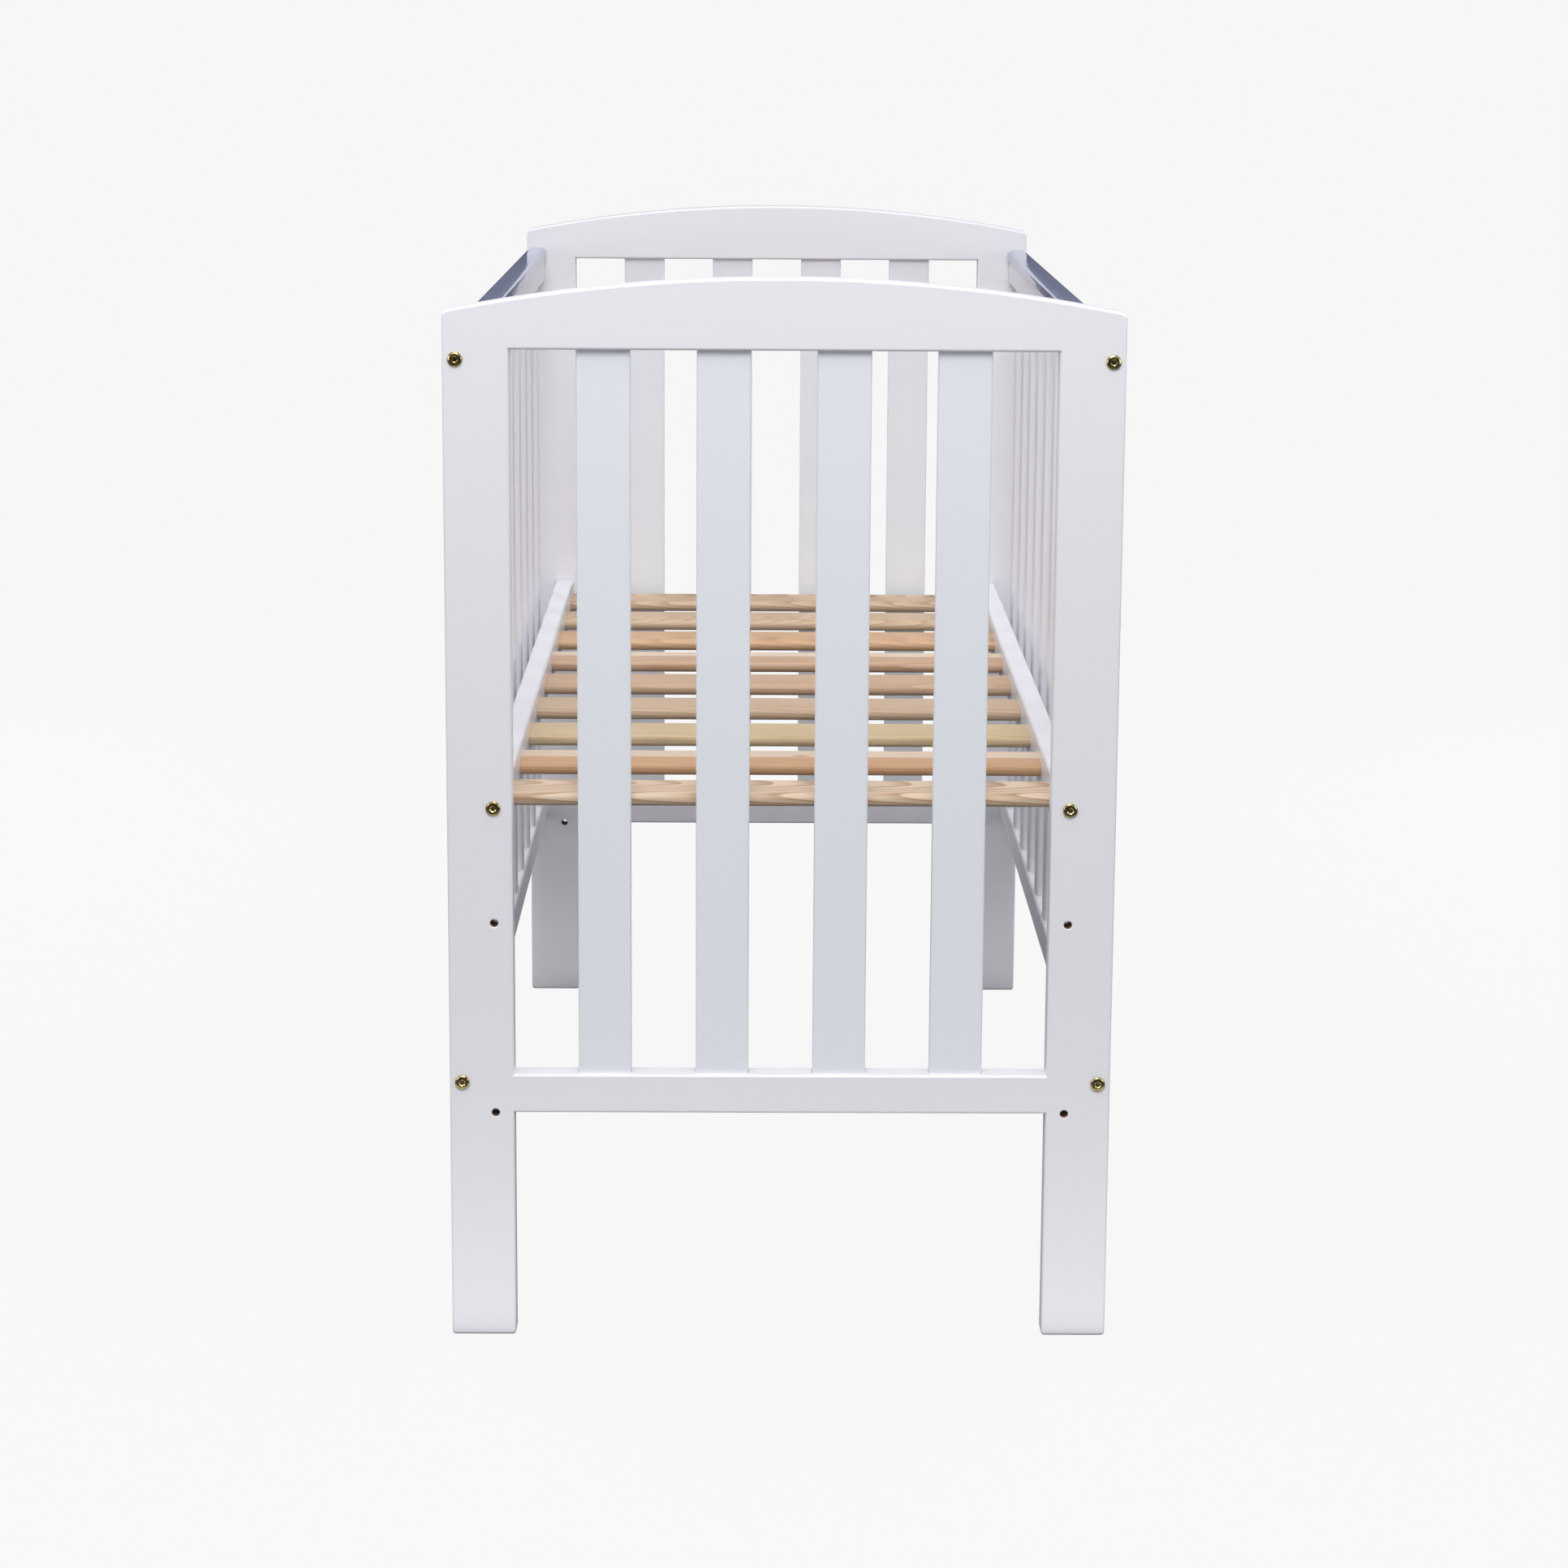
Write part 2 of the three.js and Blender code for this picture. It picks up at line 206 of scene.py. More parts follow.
def joined(meshes):
    """One mesh from several."""
    whole = bmesh.new()
    for mesh in meshes:
        data = bpy.data.meshes.new("part")
        mesh.to_mesh(data)
        mesh.free()
        whole.from_mesh(data)
        bpy.data.meshes.remove(data)
    return whole


def cut(target, cutters):
    """Takes the cutters out of the object's mesh."""
    tool = add_object("cutter", joined(cutters), list(target.data.materials))
    modifier = target.modifiers.new("cut", "BOOLEAN")
    modifier.operation = "DIFFERENCE"
    modifier.solver = "EXACT"
    modifier.object = tool
    depsgraph = bpy.context.evaluated_depsgraph_get()
    result = bpy.data.meshes.new_from_object(target.evaluated_get(depsgraph))
    target.modifiers.clear()
    target.data = result
    bpy.data.objects.remove(tool)


def finish_piece(piece, body, nodes=()):
    """Shades the piece smoothly except at sharp edges and ties it to its body."""
    for polygon in piece.data.polygons:
        polygon.use_smooth = True
    piece.data.set_sharp_from_angle(angle=SHARP_ANGLE)
    weighted = piece.modifiers.new("weighted normals", "WEIGHTED_NORMAL")
    weighted.keep_sharp = True
    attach(piece, body)
    if nodes:
        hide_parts(*nodes)
    return piece


def hole_cutter(x, z, near, far):
    """A bolt hole along Y from near to far, with both mouths eased."""
    outer = HOLE_RADIUS + HOLE_FLARE
    profile = [
        (0, near - HOLE_FLARE),
        (outer + HOLE_FLARE, near - HOLE_FLARE),
        (HOLE_RADIUS, near + HOLE_FLARE),
        (HOLE_RADIUS, far - HOLE_FLARE),
        (outer + HOLE_FLARE, far + HOLE_FLARE),
        (0, far + HOLE_FLARE),
    ]
    mesh = turned(profile, ROUND_SIDES)
    for face in mesh.faces:
        middle = face.calc_center_median()
        if near + HOLE_FLARE < middle.y < far - HOLE_FLARE:
            face.material_index = 1
    bmesh.ops.translate(mesh, vec=(x, 0, z), verts=mesh.verts)
    return mesh


def bore_cutters(x, z, end, inward, underside):
    """The bore in a rail's end and the barrel nut's pocket from the rail's underside."""
    reach = end + inward * BORE_LENGTH
    profile = [
        (0, end - inward * OVERRUN),
        (HOLE_RADIUS, end - inward * OVERRUN),
        (HOLE_RADIUS, reach),
        (0, reach),
    ]
    bore = turned(profile, ROUND_SIDES)
    bmesh.ops.translate(bore, vec=(x, 0, z), verts=bore.verts)
    top = z + NUT_POCKET_RISE
    middle = end + inward * NUT_DISTANCE
    circle = arc((x, middle), NUT_POCKET_RADIUS, 0, 360, ROUND_SIDES)[:-1]
    pocket = along_z(circle, underside - OVERRUN, top)
    for mesh in (bore, pocket):
        for face in mesh.faces:
            face.material_index = 1
    return bore, pocket


# Materials


class Surface:
    """A Principled material, with short calls that add nodes to it."""

    def __init__(self, name):
        self.material = bpy.data.materials.new(name)
        self.material.use_nodes = True
        self.tree = self.material.node_tree
        self.shader = self.tree.nodes["Principled BSDF"]
        self.place = self.node("TexCoord", {}).outputs["Object"]

    def node(self, kind, inputs, **settings):
        made = self.tree.nodes.new("ShaderNode" + kind)
        for key, value in settings.items():
            setattr(made, key, value)
        for key, value in inputs.items():
            self.feed(made.inputs[key], value)
        return made

    def feed(self, socket, value):
        if isinstance(value, bpy.types.NodeSocket):
            self.tree.links.new(value, socket)
        else:
            socket.default_value = value

    def math(self, operation, first, second=0.0):
        return self.node("Math", {0: first, 1: second}, operation=operation).outputs[0]

    def vector(self, operation, first, second):
        return self.node("VectorMath", {0: first, 1: second}, operation=operation).outputs[0]

    def noise(self, place, scale, detail=2.0, roughness=0.5):
        inputs = {"Vector": place, "Scale": scale, "Detail": detail, "Roughness": roughness}
        return self.node("TexNoise", inputs).outputs[0]

    def ramp(self, value, stops):
        """stops are (position, grey value or colour)."""
        made = self.node("ValToRGB", {"Fac": value})
        elements = made.color_ramp.elements
        while len(elements) < len(stops):
            elements.new(0.5)
        for element, (position, colour) in zip(elements, stops):
            element.position = position
            element.color = (colour,) * 3 + (1,) if isinstance(colour, float) else (*colour, 1)
        return made.outputs["Color"]

    def mix(self, factor, first, second, blend="MIX"):
        made = self.node("Mix", {0: factor}, data_type="RGBA", blend_type=blend)
        self.feed(made.inputs[6], first if isinstance(first, bpy.types.NodeSocket) else (*first, 1))
        self.feed(made.inputs[7], second if isinstance(second, bpy.types.NodeSocket) else (*second, 1))
        return made.outputs[2]

    def bump(self, height, strength, distance):
        inputs = {"Height": height, "Strength": strength, "Distance": distance}
        self.feed(self.shader.inputs["Normal"], self.node("Bump", inputs).outputs[0])

    def set(self, **inputs):
        for key, value in inputs.items():
            self.feed(self.shader.inputs[key.replace("_", " ")], value)


GRAIN = {"x": (9, 260, 260), "y": (260, 9, 260), "z": (260, 260, 9)}


def white_paint(name, axis, colour, gloss=0.3):
    """Satin paint: a little orange peel, and the wood's grain showing faintly along the axis."""
    paint = Surface(name)
    grain = paint.noise(paint.vector("MULTIPLY", paint.place, GRAIN[axis]), 1.0, 3.0)
    peel = paint.noise(paint.place, 420.0, 1.0)
    cloud = paint.noise(paint.place, 5.0, 3.0)
    speck_cells = paint.node("TexVoronoi", {"Vector": paint.place, "Scale": 55.0})
    speck = paint.ramp(speck_cells.outputs["Distance"], [(0.0, 1.0), (0.05, 0.0)])
    darker = tuple(value * 0.955 for value in colour)
    tone = paint.math("ADD", paint.math("MULTIPLY", cloud, 0.6), paint.math("MULTIPLY", grain, 0.3))
    base = paint.mix(tone, colour, darker)
    base = paint.mix(paint.math("MULTIPLY", speck, 0.12), base, (0.42, 0.38, 0.36))
    height = paint.math("ADD", paint.math("MULTIPLY", peel, 0.5), paint.math("MULTIPLY", grain, 0.5))
    paint.bump(height, 0.12, 0.0004)
    rough = paint.math("ADD", gloss, paint.math("MULTIPLY", cloud, 0.16))
    paint.set(Base_Color=base, Roughness=rough)
    return paint.material


def raw_wood(name):
    """The unpainted inside of a drilled hole."""
    wood = Surface(name)
    fibre = wood.noise(wood.vector("MULTIPLY", wood.place, (900, 120, 900)), 1.0, 3.0)
    base = wood.mix(fibre, (0.44, 0.29, 0.21), (0.22, 0.13, 0.09))
    wood.bump(fibre, 0.4, 0.0006)
    wood.set(Base_Color=base, Roughness=0.85)
    return wood.material


def pine_rings(wood, place, look):
    """Gives the distance sideways from the pith, the late wood from 0 to 1, and the distance to any knot."""
    parts = wood.node("SeparateXYZ", {"Vector": place}).outputs
    wander = wood.noise(wood.vector("MULTIPLY", place, (6.0, 10.0, 10.0)), 1.0, 2.0)
    sway = wood.math("MULTIPLY", wood.math("SUBTRACT", wander, 0.5), look["sway"])
    across = wood.math("ADD", wood.math("SUBTRACT", parts["Y"], look["offset"]), sway)
    rise = wood.math("MULTIPLY", parts["X"], look["tilt"])
    deep = wood.math("ADD", wood.math("ADD", parts["Z"], look["depth"]), rise)
    squares = wood.math("ADD", wood.math("MULTIPLY", across, across), wood.math("MULTIPLY", deep, deep))
    reach = wood.math("SQRT", squares)
    knot_distance = None
    if "knot" in look:
        to_knot = wood.vector("MULTIPLY", wood.vector("SUBTRACT", place, look["knot"]), (1.0, 2.2, 0.0))
        knot_distance = wood.node("VectorMath", {0: to_knot}, operation="LENGTH").outputs["Value"]
        bulge = wood.ramp(wood.math("DIVIDE", knot_distance, 0.03), [(0.0, 1.0), (0.4, 0.35), (1.0, 0.0)])
        reach = wood.math("ADD", reach, wood.math("MULTIPLY", bulge, 0.007))
    rings = wood.math("DIVIDE", reach, look["ring"])
    uneven = wood.noise(wood.vector("MULTIPLY", place, (2.0, 60.0, 60.0)), 1.0, 1.0)
    phase = wood.math("FRACT", wood.math("ADD", rings, wood.math("MULTIPLY", uneven, 0.5)))
    band = wood.ramp(phase, [(0.0, 0.0), (0.4, 0.1), (0.72, 0.7), (0.88, 1.0), (0.97, 0.0)])
    return across, band, knot_distance


def pine(name, middle, look):
    """Pine sawn along X, in rings about a pith that lies under the slat and tilts along it."""
    wood = Surface(name)
    place = wood.vector("SUBTRACT", wood.place, middle)
    across, band, knot_distance = pine_rings(wood, place, look)
    fibre = wood.noise(wood.vector("MULTIPLY", place, (14.0, 800.0, 800.0)), 1.0, 4.0, 0.6)
    cloud = wood.noise(wood.vector("MULTIPLY", place, (4.0, 20.0, 20.0)), 1.0, 2.0)
    late = look["late"]
    base = wood.mix(wood.math("MULTIPLY", band, look["contrast"]), look["early"], late)
    base = wood.mix(wood.math("MULTIPLY", fibre, 0.3), base, late, "MULTIPLY")
    base = wood.mix(wood.ramp(cloud, [(0.4, 0.0), (0.75, 0.5)]), base, (0.93, 0.86, 0.78), "MULTIPLY")
    if "pale_from" in look:
        past_edge = wood.math("SUBTRACT", across, look["pale_from"] - look["offset"])
        pale = wood.ramp(wood.math("DIVIDE", past_edge, 0.002), [(0.0, 0.0), (1.0, 1.0)])
        base = wood.mix(wood.math("MULTIPLY", pale, 0.85), base, PALE)
    streak = wood.noise(wood.vector("MULTIPLY", place, (22.0, 1500.0, 1500.0)), 1.0, 2.0)
    pores = wood.ramp(streak, [(0.66, 0.0), (0.76, 1.0)])
    base = wood.mix(wood.math("MULTIPLY", pores, 0.2), base, (0.3, 0.17, 0.09))
    if knot_distance is not None:
        heart = wood.ramp(wood.math("DIVIDE", knot_distance, 0.012), [(0.25, 1.0), (0.6, 0.25), (1.0, 0.0)])
        base = wood.mix(wood.math("MULTIPLY", heart, 0.75), base, (0.36, 0.15, 0.07))
    height = wood.math("SUBTRACT", wood.math("MULTIPLY", fibre, 0.6), wood.math("MULTIPLY", pores, 0.5))
    height = wood.math("ADD", height, wood.math("MULTIPLY", band, 0.4))
    wood.bump(height, 0.3, 0.0004)
    rough = wood.math("SUBTRACT", 0.5, wood.math("MULTIPLY", band, 0.14))
    wood.set(Base_Color=base, Roughness=rough)
    return wood.material


def cap_plastic(name):
    """Glossy, slightly blue plastic with faint rub marks."""
    plastic = Surface(name)
    rub = plastic.noise(plastic.vector("MULTIPLY", plastic.place, (60, 700, 60)), 1.0, 3.0)
    marks = plastic.ramp(rub, [(0.6, 0.0), (0.74, 1.0)])
    cloud = plastic.noise(plastic.place, 9.0, 3.0)
    base = plastic.mix(cloud, (0.26, 0.285, 0.43), (0.31, 0.335, 0.47))
    wave = plastic.noise(plastic.vector("MULTIPLY", plastic.place, (30, 12, 30)), 1.0, 2.0)
    smear = plastic.noise(plastic.vector("MULTIPLY", plastic.place, (14, 26, 14)), 1.0, 3.0, 0.6)
    haze = plastic.ramp(smear, [(0.4, 0.0), (0.46, 1.0), (0.5, 0.1), (0.56, 0.9), (0.62, 0.0)])
    base = plastic.mix(plastic.math("MULTIPLY", haze, 0.1), base, (0.55, 0.56, 0.68))
    rough = plastic.math("ADD", 0.04, plastic.math("MULTIPLY", marks, 0.14))
    rough = plastic.math("ADD", rough, plastic.math("MULTIPLY", haze, 0.07))
    height = plastic.math("ADD", wave, plastic.math("MULTIPLY", marks, 0.05))
    plastic.bump(height, 0.05, 0.0004)
    plastic.set(Base_Color=base, Roughness=rough)
    return plastic.material


def yellow_zinc(name):
    """Passivated steel whose film shifts between gold, green and brown."""
    zinc = Surface(name)
    film = zinc.noise(zinc.place, 260.0, 3.0)
    colour = zinc.ramp(
        film,
        [
            (0.3, (0.22, 0.09, 0.05)),
            (0.42, (0.48, 0.27, 0.09)),
            (0.5, (0.66, 0.53, 0.24)),
            (0.58, (0.36, 0.38, 0.15)),
            (0.7, (0.56, 0.42, 0.18)),
        ],
    )
    fine = zinc.noise(zinc.place, 1400.0, 2.0)
    zinc.bump(fine, 0.15, 0.0002)
    rough = zinc.math("ADD", 0.08, zinc.math("MULTIPLY", fine, 0.16))
    zinc.set(Base_Color=colour, Metallic=1.0, Roughness=rough)
    return zinc.material


FRAME_WHITE = (0.81, 0.80, 0.83)
# The end slats' white is a slightly cooler copy of the frame's paint: painted shade for the slats that sit
# recessed behind the frame and under its top rail
SHADED_SLAT_WHITE = (0.78, 0.80, 0.83)
upright_paint = white_paint("white_paint_upright", "z", FRAME_WHITE)
cross_paint = white_paint("white_paint_crosswise", "x", FRAME_WHITE)
length_paint = white_paint("white_paint_lengthwise", "y", FRAME_WHITE, 0.16)
shaded_slat_paint = white_paint("white_paint_slats_painted_shade", "z", SHADED_SLAT_WHITE)
hole_wood = raw_wood("raw_wood")
plastic = cap_plastic("teething_cap_plastic")
zinc = yellow_zinc("yellow_zinc")

CREAM = (0.73, 0.585, 0.435)
PEACH = (0.635, 0.445, 0.30)
YELLOW = (0.75, 0.60, 0.365)
BEIGE = (0.665, 0.505, 0.35)
ORANGE = (0.67, 0.45, 0.265)
TAN = (0.68, 0.42, 0.23)
PALE = (0.75, 0.6, 0.46)
LATE_CREAM = (0.44, 0.27, 0.14)
LATE_ORANGE = (0.46, 0.24, 0.12)


def sawn(early, late, contrast, pith, tilt, ring, sway, **extras):
    """A slat's look. pith is how far its pith lies beside the slat's middle and under it."""
    offset, depth = pith
    look = dict(early=early, late=late, contrast=contrast, offset=offset, depth=depth)
    look.update(tilt=tilt, ring=ring, sway=sway, **extras)
    return look


# Front slat first. ring is the width of a year's ring and sway is how far the rings wander
SLAT_LOOKS = [
    sawn(CREAM, LATE_CREAM, 1.0, pith=(0.012, 0.034), tilt=0.085, ring=0.0034, sway=0.004),
    sawn(
        TAN,
        LATE_ORANGE,
        0.35,
        pith=(-0.05, 0.05),
        tilt=0.02,
        ring=0.003,
        sway=0.008,
        pale_from=-0.004,
        knot=(0.018, 0.002, 0.006),
    ),
    sawn(YELLOW, LATE_CREAM, 0.5, pith=(0.07, 0.02), tilt=0.01, ring=0.0021, sway=0.006),
    sawn(BEIGE, LATE_CREAM, 0.55, pith=(-0.04, 0.06), tilt=0.03, ring=0.0036, sway=0.01),
    sawn(PEACH, LATE_CREAM, 0.5, pith=(0.05, 0.07), tilt=0.02, ring=0.0034, sway=0.01),
    sawn(PEACH, LATE_ORANGE, 0.7, pith=(0.06, 0.02), tilt=0.02, ring=0.0026, sway=0.008, pale_from=0.0),
    sawn(ORANGE, LATE_ORANGE, 0.6, pith=(-0.012, 0.03), tilt=0.09, ring=0.0042, sway=0.02),
    sawn(BEIGE, LATE_CREAM, 0.6, pith=(-0.01, 0.028), tilt=-0.1, ring=0.0026, sway=0.014),
    sawn(BEIGE, LATE_CREAM, 0.9, pith=(0.014, 0.04), tilt=0.07, ring=0.0024, sway=0.012),
]


# End frames

post_low, post_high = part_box("front_right_post")
HALF_WIDTH = post_high.x
INNER = post_low.x
OUTER_FACE = -post_low.y
rail_low, rail_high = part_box("front_top_rail")
ARCH_TOP = rail_high.z
TOP_UNDERSIDE = rail_low.z
lower_low, lower_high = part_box("front_bottom_rail")
LOWER_UNDERSIDE = lower_low.z
LOWER_TOP = lower_high.z
RISE = ARCH_TOP - CORNER_HEIGHT
ARCH_RADIUS = (HALF_WIDTH**2 + RISE**2) / (2 * RISE)
ARCH_CENTRE = ARCH_TOP - ARCH_RADIUS


def arch_points(start_x, end_x, inset, steps):
    """Points of the arch between two x values, inset into the wood."""
    radius = ARCH_RADIUS - inset
    start = math.degrees(math.acos(start_x / radius))
    end = math.degrees(math.acos(end_x / radius))
    return arc((0, ARCH_CENTRE), radius, start, end, steps)


def post_outline(inset):
    """The right post in X and Z. The opening's corners belong to the post, so that the eased edges mitre."""
    corner_x = HALF_WIDTH - CORNER_RADIUS
    corner_z = ARCH_CENTRE + math.sqrt((ARCH_RADIUS - CORNER_RADIUS) ** 2 - corner_x**2)
    meet = math.degrees(math.atan2(corner_z - ARCH_CENTRE, corner_x))
    radius = ARCH_RADIUS - inset
    meet_x = radius * math.cos(math.radians(meet))
    foot = FOOT_RADIUS - inset
    inner = INNER + inset
    return (
        arc((INNER + FOOT_RADIUS, FOOT_RADIUS), foot, 180, 270, CORNER_STEPS)
        + arc((HALF_WIDTH - FOOT_RADIUS, FOOT_RADIUS), foot, 270, 360, CORNER_STEPS)
        + arc((corner_x, corner_z), CORNER_RADIUS - inset, 0, meet, CORNER_STEPS)
        + arch_points(meet_x, INNER, inset, POST_ARCH_STEPS)[1:]
        + [
            (INNER, TOP_UNDERSIDE + inset),
            (inner, TOP_UNDERSIDE + inset),
            (inner, LOWER_TOP - inset),
            (INNER, LOWER_TOP - inset),
            (INNER, LOWER_UNDERSIDE + inset),
            (inner, LOWER_UNDERSIDE + inset),
        ]
    )


def top_rail_outline(inset):
    under = TOP_UNDERSIDE + inset
    return [(-INNER, under), (INNER, under)] + arch_points(INNER, -INNER, inset, ARCH_STEPS)


def lower_rail_outline(inset):
    low = LOWER_UNDERSIDE + inset
    high = LOWER_TOP - inset
    return [(-INNER, low), (INNER, low), (INNER, high), (-INNER, high)]


def eased_board(outline, near, far, mirror=1):
    """A board between two y values whose edges are quarter rounds."""
    rings = []
    for i in range(ARRIS_STEPS + 1):
        angle = math.pi / 2 * i / ARRIS_STEPS
        inset = ARRIS - ARRIS * math.sin(angle)
        y = near + ARRIS - ARRIS * math.cos(angle)
        rings.append([(mirror * x, y, z) for x, z in outline(inset)])
    for i in range(ARRIS_STEPS + 1):
        angle = math.pi / 2 * i / ARRIS_STEPS
        inset = ARRIS - ARRIS * math.cos(angle)
        y = far - ARRIS + ARRIS * math.sin(angle)
        rings.append([(mirror * x, y, z) for x, z in outline(inset)])
    return loft(rings)


def middle_of(node):
    low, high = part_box(node)
    return (low + high) / 2


def build_post(end, side, mirror):
    node = f"{end}_{side}_post"
    low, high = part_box(node)
    board = eased_board(post_outline, low.y, high.y, mirror)
    post = add_object(node + "_board", board, [upright_paint, hole_wood])
    places = [middle_of(f"{end}_{side}_upper_bolt"), middle_of(f"{end}_{side}_lower_bolt")]
    base_bolt = middle_of(f"{end}_{side}_base_bolt")
    places += [base_bolt + Vector((0, 0, drop)) for drop in BASE_DROPS]
    cut(post, [hole_cutter(place.x, place.z, low.y, high.y) for place in places])
    return finish_piece(post, "frame", [node])


def slat_mortises(end, edge):
    """Cutters for the slats' mortises in a rail; edge is the height that they pass through."""
    cutters = []
    for i in range(SLAT_COUNT):
        low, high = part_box(f"{end}_slat_{i + 1}")
        outline = rounded_rectangle(
            (low.x - FIT, low.y - FIT), (high.x + FIT, high.y + FIT), SLAT_RADIUS + FIT
        )
        depth = (high.z - TOP_UNDERSIDE) + FIT
        cutters.append(along_z(outline, edge - depth, edge + depth))
    return cutters


def build_end(end):
    low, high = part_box(f"{end}_right_post")
    for side, mirror in (("left", -1), ("right", 1)):
        build_post(end, side, mirror)
    parts = (
        (f"{end}_top_rail", top_rail_outline, TOP_UNDERSIDE),
        (f"{end}_bottom_rail", lower_rail_outline, LOWER_TOP),
    )
    for node, outline, edge in parts:
        board = eased_board(outline, low.y, high.y)
        rail = add_object(node + "_board", board, [cross_paint])
        cut(rail, slat_mortises(end, edge))
        finish_piece(rail, "frame", [node])
    for i in range(SLAT_COUNT):
        node = f"{end}_slat_{i + 1}"
        slat_low, slat_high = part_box(node)
        outline = rounded_rectangle(slat_low.xy, slat_high.xy, SLAT_RADIUS)
        mesh = along_z(outline, slat_low.z, slat_high.z)
        # The slats get the cooler copy of the white paint, which is painted shade
        slat = add_object(node + "_board", mesh, [shaded_slat_paint])
        finish_piece(slat, "frame", [node])


# Sides


def cut_bolt_bores(rail, side, kind, low, high):
    """Cuts the bores for one pair of bolts into both ends of a rail whose box is given."""
    for end, edge, inward in (("front", low.y, 1), ("back", high.y, -1)):
        bolt = middle_of(f"{end}_{side}_{kind}_bolt")
        for cutter in bore_cutters(bolt.x, bolt.z, edge, inward, low.z):
            cut(rail, [cutter])


def bar_spans(start, end):
    """Where each bar begins and ends along a side rail, with equal gaps up to the posts."""
    gap = (end - start + 2 * FIT - BAR_COUNT * BAR_WIDTH) / (BAR_COUNT + 1)
    spans = []
    for i in range(BAR_COUNT):
        near = start - FIT + gap + i * (gap + BAR_WIDTH)
        spans.append((near, near + BAR_WIDTH))
    return spans


def bar_outline(middle_x, span, margin):
    """A bar's section, grown by the margin."""
    near, far = span
    half = BAR_HALF_THICKNESS + margin
    return rounded_rectangle((middle_x - half, near - margin), (middle_x + half, far + margin), BAR_RADIUS)


def bar_mortises(bars, middle_x, start, end):
    return [along_z(bar_outline(middle_x, span, FIT), start, end) for span in bars]


def build_side(side):
    top_node = f"{side}_top_rail"
    comb_node = f"{side}_bars_and_bottom_rail"
    top_low, top_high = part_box(top_node)
    comb_low, comb_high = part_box(comb_node)
    middle_x = (top_low.x + top_high.x) / 2
    bars = bar_spans(top_low.y, top_high.y)
    rail_top = comb_low.z + BOTTOM_RAIL_HEIGHT

    upper = CAP_RADIUS - CAP_WALL
    section = rounded_rectangle((top_low.x, top_low.z), (top_high.x, top_high.z), RAIL_RADIUS, upper)
    mesh = along_y(section, top_low.y, top_high.y)
    rail = add_object(top_node + "_board", mesh, [length_paint, hole_wood])
    cut(rail, bar_mortises(bars, middle_x, top_low.z - BAR_TENON, top_low.z + BAR_TENON + FIT))
    cut_bolt_bores(rail, side, "upper", top_low, top_high)
    finish_piece(rail, "frame", [top_node])

    section = rounded_rectangle((comb_low.x, comb_low.z), (comb_high.x, rail_top), RAIL_RADIUS)
    mesh = along_y(section, comb_low.y, comb_high.y)
    rail = add_object(f"{side}_bottom_rail_board", mesh, [length_paint, hole_wood])
    cut(rail, bar_mortises(bars, middle_x, rail_top - BAR_TENON - FIT, rail_top + BAR_TENON))
    cut_bolt_bores(rail, side, "lower", comb_low, comb_high)
    finish_piece(rail, "frame", [comb_node])

    for i, span in enumerate(bars):
        mesh = along_z(bar_outline(middle_x, span, 0), rail_top - BAR_TENON, top_low.z + BAR_TENON)
        bar = add_object(f"{side}_bar_{i + 1}", mesh, [upright_paint])
        finish_piece(bar, "frame", [comb_node])


def build_cap(side):
    """A channel of even thickness with rounded lips, snapped over the top rail."""
    node = f"{side}_teething_cap"
    low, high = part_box(node)
    lip = CAP_WALL / 2
    inner_radius = CAP_RADIUS - CAP_WALL
    steps = 2 * SECTION_STEPS
    outline = (
        arc((high.x - CAP_RADIUS, high.z - CAP_RADIUS), CAP_RADIUS, 0, 90, steps)
        + arc((low.x + CAP_RADIUS, high.z - CAP_RADIUS), CAP_RADIUS, 90, 180, steps)
        + arc((low.x + lip, low.z + lip), lip, 180, 360, steps)
        + arc((low.x + CAP_RADIUS, high.z - CAP_RADIUS), inner_radius, 180, 90, steps)
        + arc((high.x - CAP_RADIUS, high.z - CAP_RADIUS), inner_radius, 90, 0, steps)
        + arc((high.x - lip, low.z + lip), lip, 180, 360, steps)
    )
    mesh = along_y(outline, low.y, high.y)
    cap = add_object(node + "_channel", mesh, [plastic])
    finish_piece(cap, "frame", [node])


# Base


def build_base():
    slats = [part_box(f"base_slat_{i + 1}") for i in range(len(SLAT_LOOKS))]
    for side in ("left", "right"):
        node = f"base_{side}_rail"
        low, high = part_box(node)
        section = rounded_rectangle((low.x, low.z), (high.x, high.z), RAIL_RADIUS)
        rail = add_object(node + "_board", along_y(section, low.y, high.y), [length_paint, hole_wood])
        cutters = []
        for slat_low, slat_high in slats:
            outline = bullnose((slat_low.y - FIT, slat_low.z - FIT), (slat_high.y + FIT, slat_high.z + FIT))
            cutters.append(along_x(outline, slat_low.x - FIT, slat_high.x + FIT))
        cut(rail, cutters)
        cut_bolt_bores(rail, side, "base", low, high)
        finish_piece(rail, "base", [node])
    for i, ((low, high), look) in enumerate(zip(slats, SLAT_LOOKS)):
        node = f"base_slat_{i + 1}"
        wood = pine(f"pine_{i + 1}", (low + high) / 2, look)
        outline = bullnose((low.y, low.z), (high.y, high.z))
        slat = add_object(node + "_board", along_x(outline, low.x, high.x), [wood])
        finish_piece(slat, "base", [node])


# Bolts and nuts


